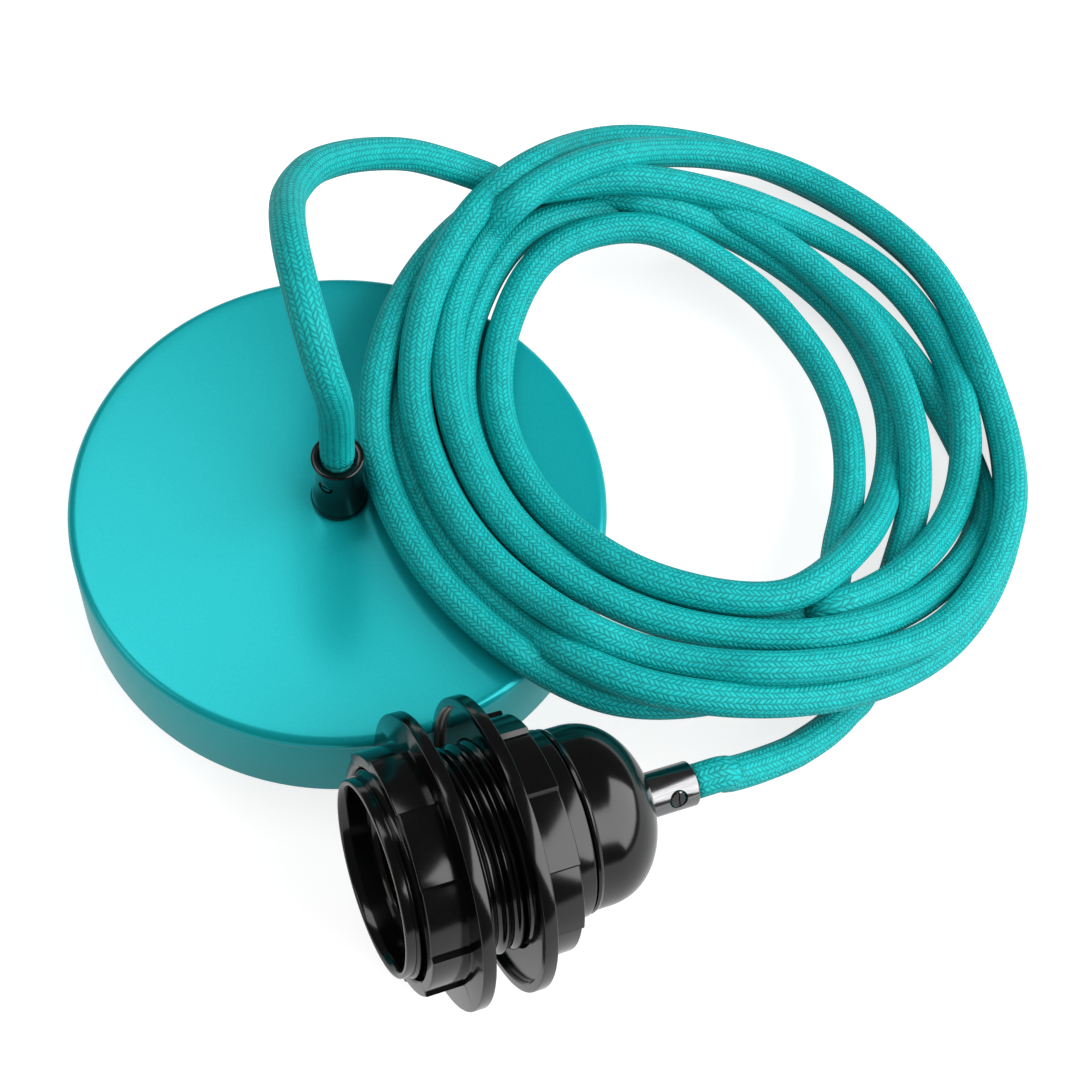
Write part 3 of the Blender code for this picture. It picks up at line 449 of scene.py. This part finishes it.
def settled(path):
    """Moves the upper of two crossing turns towards the camera and the lower away from it, in low humps."""
    near = round(3 * CORD_DIAMETER / CORD_STEP)
    first, last = near, len(path) - near
    rest = CORD_DIAMETER / 2 + GAP
    leans = [(CAMERA_PLACE - point) / (CAMERA_PLACE.z - point.z) for point in path]
    levels = [round(point.z - bed_height(point.x), 3) for point in path]
    lifts = [0.0] * len(path)
    for _ in range(COIL_ROUNDS):
        places = [point + lift * lean for point, lift, lean in zip(path, lifts, leans)]
        tree = KDTree(len(places))
        for number, place in enumerate(places):
            tree.insert(place, number)
        tree.balance()
        moved = list(lifts)
        for number in range(first, last):
            up = down = 0.0
            for _place, other, distance in tree.find_range(places[number], CORD_DIAMETER):
                if abs(other - number) > near:
                    if (levels[number], number) > (levels[other], other):
                        up = max(up, CORD_DIAMETER - distance)
                    else:
                        down = max(down, CORD_DIAMETER - distance)
            moved[number] = min(COIL_LIFT, lifts[number] + COIL_EASE * (up - down))
        for _pass in range(3):
            eased = [
                0.25 * before + 0.5 * here + 0.25 * after
                for before, here, after in zip(moved, moved[1:], moved[2:])
            ]
            moved = [moved[0], *eased, moved[-1]]
        for number in range(first, last):
            place = path[number] + moved[number] * leans[number]
            floor = min(path[number].z, bed_height(place.x) + rest)
            moved[number] += max(0.0, floor - place.z)
        lifts = moved
    return [point + lift * lean for point, lift, lean in zip(path, lifts, leans)]


def cord(material):
    """The whole cord as one tube, with a UV map of its share round and the metres along it."""
    grip = [HOLDER @ Vector((0, 0, GRIP_END + reach)) for reach in (CORD_DIAMETER, GAP)]
    path = settled(curve_through((*LOOP_ROUTE, *coil_route(), *TAIL_ROUTE, *grip), CORD_STEP))
    lengths = [0.0]
    for start, end in zip(path, path[1:]):
        lengths.append(lengths[-1] + (end - start).length)
    points = []
    faces = []
    side = Vector((1, 0, 0))
    for number, point in enumerate(path):
        along = path[min(number + 1, len(path) - 1)] - path[max(number - 1, 0)]
        along.normalize()
        side = (side - along * side.dot(along)).normalized()
        other = along.cross(side)
        for corner in range(CORD_SIDES):
            angle = 2 * math.pi * corner / CORD_SIDES
            points.append(point + CORD_COVER * (side * math.cos(angle) + other * math.sin(angle)))
    rings = len(path)
    for ring in range(rings - 1):
        for corner in range(CORD_SIDES):
            beside = (corner + 1) % CORD_SIDES
            low, high = ring * CORD_SIDES, (ring + 1) * CORD_SIDES
            faces.append((low + corner, low + beside, high + beside, high + corner))
    faces.append(tuple(reversed(range(CORD_SIDES))))
    faces.append(tuple(range((rings - 1) * CORD_SIDES, rings * CORD_SIDES)))
    mesh = bpy.data.meshes.new("cord")
    mesh.from_pydata(points, [], faces)
    layer = mesh.uv_layers.new(name="cord")
    for face in mesh.polygons[:-2]:
        corners = [mesh.loops[loop].vertex_index % CORD_SIDES for loop in face.loop_indices]
        wraps = 0 in corners and CORD_SIDES - 1 in corners
        for loop, corner in zip(face.loop_indices, corners):
            share = 1.0 if wraps and corner == 0 else corner / CORD_SIDES
            layer.data[loop].uv = (share, lengths[mesh.loops[loop].vertex_index // CORD_SIDES])
    mesh.shade_smooth()
    mesh.materials.append(material)
    piece = bpy.data.objects.new("cord", mesh)
    bpy.context.scene.collection.objects.link(piece)
    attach(piece, "lamp_set")
    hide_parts("cord_loop", "cord_coil", "cord_tail")


def turned(name, profile, sides):
    """Draws a point out along a profile of (radius, height) points and spins the line round Z."""
    bpy.ops.object.select_all(action="DESELECT")
    bpy.ops.mesh.primitive_plane_add(size=0.001)
    piece = bpy.context.object
    piece.name = piece.data.name = name
    bpy.ops.object.mode_set(mode="EDIT")
    bpy.ops.mesh.select_all(action="SELECT")
    bpy.ops.mesh.merge(type="CENTER")
    bpy.ops.mesh.select_all(action="SELECT")
    bpy.ops.transform.translate(value=(profile[0][0], 0, profile[0][1]))
    for before, after in zip(profile, [*profile[1:], profile[0]]):
        step = (after[0] - before[0], 0, after[1] - before[1])
        bpy.ops.mesh.extrude_region_move(TRANSFORM_OT_translate={"value": step})
    bpy.ops.mesh.select_all(action="SELECT")
    bpy.ops.mesh.remove_doubles(threshold=1e-6)
    bpy.ops.mesh.spin(steps=sides, angle=2 * math.pi, center=(0, 0, 0), axis=(0, 0, 1))
    bpy.ops.mesh.select_all(action="SELECT")
    bpy.ops.mesh.remove_doubles(threshold=1e-6)
    bpy.ops.mesh.normals_make_consistent(inside=False)
    bpy.ops.object.mode_set(mode="OBJECT")
    return piece


def fillet(centre, radius, start, end, steps=4):
    """Points on an arc, in degrees from outwards."""
    turns = [math.radians(start + (end - start) * step / steps) for step in range(steps + 1)]
    return [(centre[0] + radius * math.cos(turn), centre[1] + radius * math.sin(turn)) for turn in turns]


def cut_rod(piece, start, end, radius):
    """Cuts a round hole through a piece between two points."""
    start, end = Vector(start), Vector(end)
    along = end - start
    turn = along.to_track_quat("Z", "Y").to_euler()
    bpy.ops.object.select_all(action="DESELECT")
    bpy.ops.mesh.primitive_cylinder_add(
        vertices=HOLE_SIDES, radius=radius, depth=along.length, location=(start + end) / 2, rotation=turn
    )
    cutter = bpy.context.object
    bpy.context.view_layer.objects.active = piece
    boolean = piece.modifiers.new("hole", "BOOLEAN")
    boolean.operation = "DIFFERENCE"
    boolean.solver = "EXACT"
    boolean.object = cutter
    bpy.ops.object.modifier_apply(modifier="hole")
    bpy.data.objects.remove(cutter)


def dress(piece, node, body, material, place=None, angle=30):
    """Puts a finished piece in place of its solid."""
    if place:
        piece.data.transform(place)
    bpy.ops.object.select_all(action="DESELECT")
    piece.select_set(True)
    bpy.context.view_layer.objects.active = piece
    bpy.ops.object.shade_smooth_by_angle(angle=math.radians(angle))
    piece.data.materials.clear()
    piece.data.materials.append(material)
    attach(piece, body)
    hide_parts(node)
    return piece


def cup():
    """A pressed cup with a rolled rim and a fine crease under it."""
    inside = CUP_RADIUS - CUP_WALL
    ceiling = CUP_HEIGHT - CUP_WALL
    hole = ROSE_STUB_RADIUS + GAP
    crease = CUP_HEIGHT - CUP_FILLET - CREASE_DROP
    profile = [
        (CUP_RADIUS - 0.0002, 0),
        (CUP_RADIUS, 0.0003),
        (CUP_RADIUS, crease - CREASE_WIDTH / 2),
        (CUP_RADIUS - CREASE_DEPTH, crease),
        (CUP_RADIUS, crease + CREASE_WIDTH / 2),
        *fillet((CUP_RADIUS - CUP_FILLET, CUP_HEIGHT - CUP_FILLET), CUP_FILLET, 0, 90, 10),
        (CUP_RADIUS - 0.004, CUP_HEIGHT),
        (hole + 0.001, CUP_HEIGHT),
        (hole, CUP_HEIGHT),
        (hole, ceiling),
        *fillet((inside - CUP_WALL, ceiling - CUP_WALL), CUP_WALL, 90, 0, 4),
        (inside, 0),
    ]
    piece = turned("painted_cup", profile, CUP_SIDES)
    for side in (-1, 1):
        toward = Vector((side * math.cos(BRACKET_TURN), side * math.sin(BRACKET_TURN), 0))
        level = Vector((0, 0, SIDE_SCREW_HEIGHT))
        start, end = level + 0.95 * inside * toward, level + 1.05 * CUP_RADIUS * toward
        cut_rod(piece, start, end, SIDE_SCREW_RADIUS + GAP)
    dress(piece, "ceiling_cup", "lamp_set", paint)


def rose_grip():
    """The waisted collar on the cup, with a softly rounded foot and lip."""
    edge = 0.0005
    foot = 0.0014
    waist = 0.0066
    swell = 0.00066
    mouth_start = 0.0115
    mouth = 0.0049
    flare = ROSE_LIP_RADIUS - ROSE_NECK_RADIUS
    profile = [
        (ROSE_BASE_RADIUS - 0.0002, 0),
        (ROSE_BASE_RADIUS, 0.0002),
        (ROSE_BASE_RADIUS, 0.0011),
        (ROSE_BASE_RADIUS - 0.0002, foot),
        *(
            (ROSE_NECK_RADIUS + swell * math.cos(math.pi / 2 * share) ** 1.6, foot + waist * share)
            for share in (0.05, 0.15, 0.3, 0.45, 0.6, 0.8, 1.0)
        ),
        *(
            (ROSE_NECK_RADIUS + flare * share * share, mouth_start + mouth * share)
            for share in (0.0, 0.25, 0.5, 0.75, 0.95)
        ),
        *fillet((ROSE_LIP_RADIUS - edge, ROSE_HEIGHT - edge), edge, 0, 90, 5),
        *fillet((CORD_BORE + edge, ROSE_HEIGHT - edge), edge, 90, 180, 4),
        (CORD_BORE, -ROSE_STUB_LENGTH),
        (ROSE_STUB_RADIUS, -ROSE_STUB_LENGTH),
        (ROSE_STUB_RADIUS, 0),
    ]
    piece = turned("rose_collar", profile, 64)
    toward = Vector((math.cos(ROSE_SCREW_TURN), math.sin(ROSE_SCREW_TURN), 0))
    level = Vector((0, 0, ROSE_SCREW_HEIGHT))
    start, end = level + 0.25 * CORD_DIAMETER * toward, level + 2 * ROSE_NECK_RADIUS * toward
    cut_rod(piece, start, end, ROSE_SCREW_RADIUS + GAP)
    place = Matrix.Translation((0, 0, CUP_HEIGHT + GAP))
    dress(piece, "rose_grip_body", "lamp_set", black, place)


def shell():
    """The threaded barrel, its thread a true helix drawn out of rows of points."""
    edge = 0.0004
    rows = 128
    reach = THREAD_END - GAP - MOUTH_LENGTH
    profile = [
        (MOUTH_BORE, edge),
        (MOUTH_BORE + edge, 0),
        *fillet((MOUTH_RADIUS - edge, edge), edge, -90, 0, 3),
        (MOUTH_RADIUS, MOUTH_LENGTH),
        *((THREAD_ROOT, MOUTH_LENGTH + reach * row / rows) for row in range(rows + 1)),
        (SHELL_TAIL_RADIUS, THREAD_END),
        *fillet((SHELL_TAIL_RADIUS - edge, SHELL_LENGTH - edge), edge, 0, 90, 3),
        (SHELL_REAR_BORE, SHELL_LENGTH),
        (SHELL_REAR_BORE, SHOULDER),
        (SHELL_BORE, SHOULDER),
        (SHELL_BORE, MOUTH_DEPTH + 0.0010),
        (SHELL_BORE + 0.0008, MOUTH_DEPTH),
        (MOUTH_BORE - 0.0006, MOUTH_DEPTH),
        (MOUTH_BORE - 0.0002, 0.0020),
    ]
    piece = turned("threaded_barrel", profile, SHELL_SIDES)
    for vertex in piece.data.vertices:
        radius = vertex.co.xy.length
        height = vertex.co.z
        if abs(radius - THREAD_ROOT) < 1e-5 and MOUTH_LENGTH < height < THREAD_END:
            turn = math.atan2(vertex.co.y, vertex.co.x) / (2 * math.pi)
            phase = (height - THREAD_START) / THREAD_PITCH - turn
            crest = (0.5 + 0.5 * math.cos(2 * math.pi * phase)) ** THREAD_SHARPNESS
            fade = min(1.0, (height - MOUTH_LENGTH) / THREAD_FADE, (THREAD_END - height) / THREAD_FADE)
            vertex.co.xy *= 1 + fade * crest * (THREAD_CREST - THREAD_ROOT) / THREAD_ROOT
    dress(piece, "holder_shell", "lamp_set", black, HOLDER, 50)


def cap():
    """The domed end with its bead where it meets the barrel."""
    skirt = SHELL_REAR_BORE - GAP
    skirt_inside = skirt - SKIRT_WALL
    bead = 0.0004
    bead_length = 0.0014
    steps = 32
    dome = []
    last = math.acos((CAP_TOP_RADIUS / CAP_RADIUS) ** (DOME_POWER / 2))
    for step in range(steps + 1):
        radius = min(CAP_RADIUS, CAP_RADIUS * math.cos(last * step / steps) ** (2 / DOME_POWER))
        dome.append((radius, DOME_START + dome_height(radius, CAP_RADIUS, DOME_LENGTH)))
    inner_length = DOME_LENGTH - CAP_WALL
    inner = [
        (radius, DOME_START + dome_height(radius, skirt_inside, inner_length))
        for radius in (0.0074, 0.0095, 0.0115, 0.0130, 0.0141)
    ]
    hole = GRIP_STUB_RADIUS + GAP
    profile = [
        (skirt, SKIRT_FRONT),
        (skirt, CAP_FRONT),
        (CAP_RADIUS - bead / 2, CAP_FRONT),
        (CAP_RADIUS + bead / 2, CAP_FRONT + bead / 2),
        (CAP_RADIUS + bead, CAP_FRONT + bead_length / 2),
        (CAP_RADIUS + bead / 2, CAP_FRONT + bead_length - bead / 2),
        (CAP_RADIUS, CAP_FRONT + bead_length),
        (CAP_RADIUS, CAP_FRONT + 0.0030),
        *dome,
        (hole, dome[-1][1]),
        (hole, inner[0][1]),
        *inner,
        (skirt_inside, DOME_START),
        (skirt_inside, SKIRT_FRONT),
    ]
    dress(turned("domed_cap", profile, 128), "holder_cap", "lamp_set", black, HOLDER, 40)


def shade_ring(name, node, body, place):
    """A flange and a collar with slanted finger pads, each ending in a small step."""
    edge = 0.0003
    end = 0.0004
    step = 0.02
    high = RING_COLLAR_HIGH
    profile = [
        (RING_BORE, RING_RECESS),
        (RING_RADIUS - RING_RIM - edge, RING_RECESS),
        (RING_RADIUS - RING_RIM, RING_RECESS - edge),
        (RING_RADIUS - RING_RIM, edge),
        (RING_RADIUS - RING_RIM + edge, 0),
        *fillet((RING_RADIUS - edge, edge), edge, -90, 0, 3),
        *fillet((RING_RADIUS - edge, RING_FLANGE - edge), edge, 0, 90, 3),
        (high + 0.0004, RING_FLANGE),
        (high, RING_FLANGE + 0.0003),
        (high, RING_LENGTH / 2),
        *fillet((high - end, RING_LENGTH - end), end, 0, 90, 4),
        (RING_BORE + edge, RING_LENGTH),
        (RING_BORE, RING_LENGTH - edge),
    ]
    piece = turned(name, profile, RING_SIDES)
    for vertex in piece.data.vertices:
        radius = vertex.co.xy.length
        if vertex.co.z > RING_FLANGE + 0.0001 and radius > high - end - 1e-5:
            pad = math.atan2(vertex.co.y, vertex.co.x) / (2 * math.pi) * RING_PADS
            share = (pad + 1e-4) % 1.0
            rise = 1.0 if share < step else share - 2 * step
            vertex.co.xy *= 1 - (1 - rise) * (high - RING_COLLAR_LOW) / radius
    matrix = HOLDER @ place @ Matrix.Rotation(RING_TURN, 4, "Z")
    dress(piece, node, body, black, matrix, 40)


def metal_grip():
    """The metal tube that holds the cord, with rounded ends and a hole for its grub screw."""
    edge = 0.0004
    profile = [
        (CORD_BORE, GRIP_FRONT - GRIP_STUB),
        (GRIP_STUB_RADIUS, GRIP_FRONT - GRIP_STUB),
        (GRIP_STUB_RADIUS, GRIP_FRONT),
        (GRIP_RADIUS - 0.0001, GRIP_FRONT),
        (GRIP_RADIUS, GRIP_FRONT + 0.0001),
        *fillet((GRIP_RADIUS - edge, GRIP_END - edge), edge, 0, 90, 5),
        (CORD_BORE + 0.0001, GRIP_END),
        (CORD_BORE, GRIP_END - 0.0001),
    ]
    piece = turned("metal_grip", profile, 64)
    toward = Vector((math.cos(GRIP_SCREW_TURN), math.sin(GRIP_SCREW_TURN), 0))
    level = Vector((0, 0, GRIP_FRONT + GRIP_SCREW_PLACE))
    start, end = level + 0.25 * CORD_DIAMETER * toward, level + 2 * GRIP_RADIUS * toward
    cut_rod(piece, start, end, GRIP_SCREW_RADIUS + GAP)
    dress(piece, "holder_grip_body", "lamp_set", chrome, HOLDER)


def inner_materials():
    """Surfaces for the pieces that keep their modelled shape."""
    for name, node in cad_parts.items():
        if name.startswith("cup_cord") or name.startswith("holder_cord"):
            surface = cloth_end
        elif name.endswith("_live"):
            surface = brown_core
        elif name.endswith("_neutral"):
            surface = blue_core
        elif name.endswith("_earth"):
            surface = green_core
        elif name == "contact_insert":
            surface = ceramic
        elif name == "terminal_block":
            surface = terminal
        elif name in ("rose_grip_screw", "holder_grip_screw"):
            surface = chrome
        # The screw shell sits deep in the mouth, so its brass is painted dark as painted shade
        elif name == "lamp_screw_shell":
            surface = painted_shade_brass
        elif "contact" in name or "pole" in name or name == "earth_screw":
            surface = brass
        else:
            surface = zinc
        node.data.materials.clear()
        node.data.materials.append(surface)


def stage():
    """A pale floor, white to the eye, which keeps a soft shadow."""
    bpy.ops.mesh.primitive_plane_add(size=8.0, location=(0, 0, 0))
    floor = bpy.context.object
    floor.name = "floor"
    material = bpy.data.materials.new("floor")
    material.use_nodes = True
    tree = material.node_tree
    shader = tree.nodes["Principled BSDF"]
    shader.inputs["Base Color"].default_value = (FLOOR_SHADE, FLOOR_SHADE, FLOOR_SHADE, 1)
    shader.inputs["Roughness"].default_value = 1.0
    shader.inputs["Specular IOR Level"].default_value = 0.0
    rays = tree.nodes.new("ShaderNodeLightPath")
    shader.inputs["Emission Color"].default_value = (1, 1, 1, 1)
    seen = maths(tree, "MULTIPLY", rays.outputs["Is Camera Ray"], FLOOR_SEEN)
    seen = maths(tree, "MULTIPLY_ADD", rays.outputs["Is Glossy Ray"], FLOOR_REFLECTED, seen)
    tree.links.new(seen, shader.inputs["Emission Strength"])
    floor.data.materials.append(material)


def lamp(name, direction, target, distance, size, radiance):
    """A soft box of a size in metres, of even brightness, facing the target."""
    data = bpy.data.lights.new(name, "AREA")
    data.shape = "RECTANGLE"
    data.size, data.size_y = size
    data.energy = radiance * math.pi * size[0] * size[1]
    box = bpy.data.objects.new(name, data)
    bpy.context.scene.collection.objects.link(box)
    direction = Vector(direction).normalized()
    facing = (-direction).to_track_quat("-Z", "Y").to_matrix().to_4x4()
    place = Matrix.Translation(Vector(target) + distance * direction)
    box.matrix_world = place @ facing


def lights():
    """A dim white sky, brighter to the eye, and three soft boxes."""
    scene = bpy.context.scene
    scene.view_settings.view_transform = "Standard"
    world = scene.world or bpy.data.worlds.new("world")
    scene.world = world
    world.use_nodes = True
    tree = world.node_tree
    sky = tree.nodes["Background"]
    rays = tree.nodes.new("ShaderNodeLightPath")
    level = maths(tree, "MULTIPLY_ADD", rays.outputs["Is Camera Ray"], SKY_SEEN, SKY_LIGHT)
    level = maths(tree, "MULTIPLY_ADD", rays.outputs["Is Glossy Ray"], SKY_REFLECTED, level)
    sky.inputs["Color"].default_value = (1, 1, 1, 1)
    tree.links.new(level, sky.inputs["Strength"])
    holder = (0.01, -0.087, 0.03)
    cup_left = (-0.03, -0.02, 0.02)
    middle = (0.04, -0.02, 0.02)
    lamp("key", (0.80, -0.44, 0.62), holder, 0.9, (1.2, 0.85), 4.4)
    lamp("top", (-0.16, 0.40, 0.95), cup_left, 1.0, (0.7, 0.40), 2.9)
    lamp("left", (-1.0, 0.1, 0.55), middle, 1.1, (0.5, 0.6), 1.4)


GRAIN = grain_group()
paint = finish(
    "teal_paint",
    (0.003, 0.37, 0.40),
    (0.006, 0.40, 0.43),
    roughness=0.25,
    metallic=0.3,
    scale=1500.0,
    depth=0.000003,
    Specular_Tint=(0.4, 1.0, 1.0, 1.0),
)
black = finish("black_gloss", (0.001, 0.001, 0.0012), (0.002, 0.002, 0.0023), roughness=0.14, scale=700.0)
chrome = finish(
    "dark_chrome",
    (0.17, 0.17, 0.175),
    (0.22, 0.22, 0.225),
    roughness=0.16,
    metallic=1.0,
    scale=3000.0,
    stretch=0.05,
)
zinc = finish(
    "zinc_steel",
    (0.52, 0.52, 0.54),
    (0.66, 0.66, 0.68),
    roughness=0.33,
    metallic=1.0,
    scale=1200.0,
    stretch=0.3,
    depth=0.000006,
)
brass = finish(
    "brass",
    (0.68, 0.46, 0.19),
    (0.80, 0.58, 0.27),
    roughness=0.28,
    metallic=1.0,
    scale=1200.0,
    depth=0.000004,
)
# Brass of the lamp's screw shell, its colour painted almost black: painted shade deep inside the holder's
# mouth
painted_shade_brass = finish(
    "painted_shade_brass", (0.030, 0.022, 0.012), (0.060, 0.044, 0.022), roughness=0.5, metallic=1.0, scale=1200.0
)
ceramic = finish(
    "ceramic", (0.72, 0.69, 0.62), (0.82, 0.79, 0.73), roughness=0.45, scale=1600.0, depth=0.00001
)
terminal = finish(
    "terminal_plastic", (0.74, 0.74, 0.72), (0.82, 0.82, 0.80), roughness=0.4, scale=1400.0, depth=0.000006
)
brown_core = finish("brown_core", (0.13, 0.05, 0.02), (0.18, 0.07, 0.03), roughness=0.42)
blue_core = finish("blue_core", (0.02, 0.12, 0.46), (0.03, 0.16, 0.56), roughness=0.42)
green_core = finish("green_core", (0.07, 0.32, 0.05), (0.12, 0.44, 0.09), roughness=0.42)
cloth_end = finish(
    "cloth_end", (0.0, 0.28, 0.28), (0.01, 0.50, 0.48), roughness=0.7, scale=2600.0, depth=0.00008
)

camera()
cord(braided_cloth())
inner_materials()
cup()
rose_grip()
shell()
cap()
shade_ring("rear_ring", "rear_shade_ring", "rear_ring", Matrix.Translation((0, 0, REAR_FLANGE)))
turned_over = Matrix.Rotation(math.pi, 4, "X")
front_place = Matrix.Translation((0, 0, FRONT_FLANGE + RING_FLANGE)) @ turned_over
shade_ring("front_ring", "front_shade_ring", "front_ring", front_place)
metal_grip()
stage()
lights()
